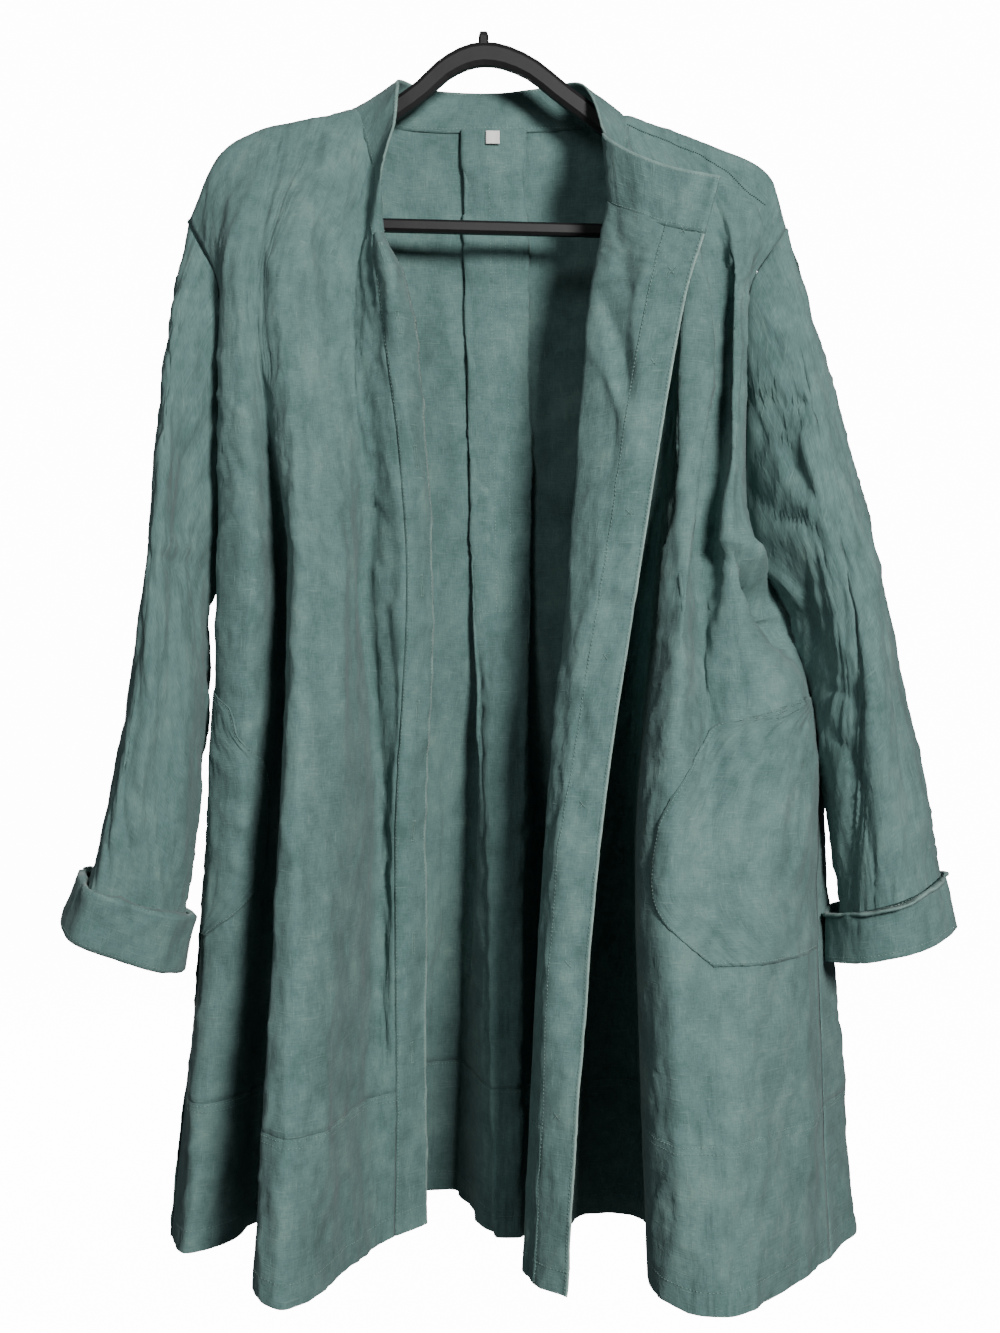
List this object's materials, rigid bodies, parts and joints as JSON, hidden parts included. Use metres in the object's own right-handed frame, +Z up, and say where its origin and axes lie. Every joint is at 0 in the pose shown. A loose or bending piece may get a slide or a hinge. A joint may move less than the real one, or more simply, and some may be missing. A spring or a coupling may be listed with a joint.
{
  "type": "duster coat and hanger",
  "caption": "Long open linen duster coat with stand collar, patch pockets and turned-back cuffs, hanging on a plain clothes hanger.",
  "frame": {"origin": "middle of the top of the hanger's stub, where its hook would start", "axes": "+X to the viewer's right across the open front, +Y from the open front to the back, +Z up"},
  "size_m": [0.8035, 0.3154, 1.1009],
  "materials": {
    "linen": "slubby washed linen, matte",
    "plastic": "moulded, low sheen",
    "button": "polished, in the coat's tone",
    "white": "woven satin tape, left bare"
  },
  "bodies": {
    "root": {"back": "linen", "front_right": "linen", "front_left": "linen", "placket_right": "linen", "placket_left": "linen", "hem_right": "linen", "hem_left": "linen", "hem_back": "linen", "collar": "linen", "sleeve_right": "linen", "sleeve_left": "linen", "cuff_right": "linen", "cuff_left": "linen", "pocket_right": "linen", "pocket_left": "linen", "button_1": "button", "button_2": "button", "button_3": "button", "button_4": "button", "button_5": "button", "button_6": "button", "button_7": "button", "button_8": "button", "size_label": "white", "hanger": "plastic"}
  },
  "joints": []
}
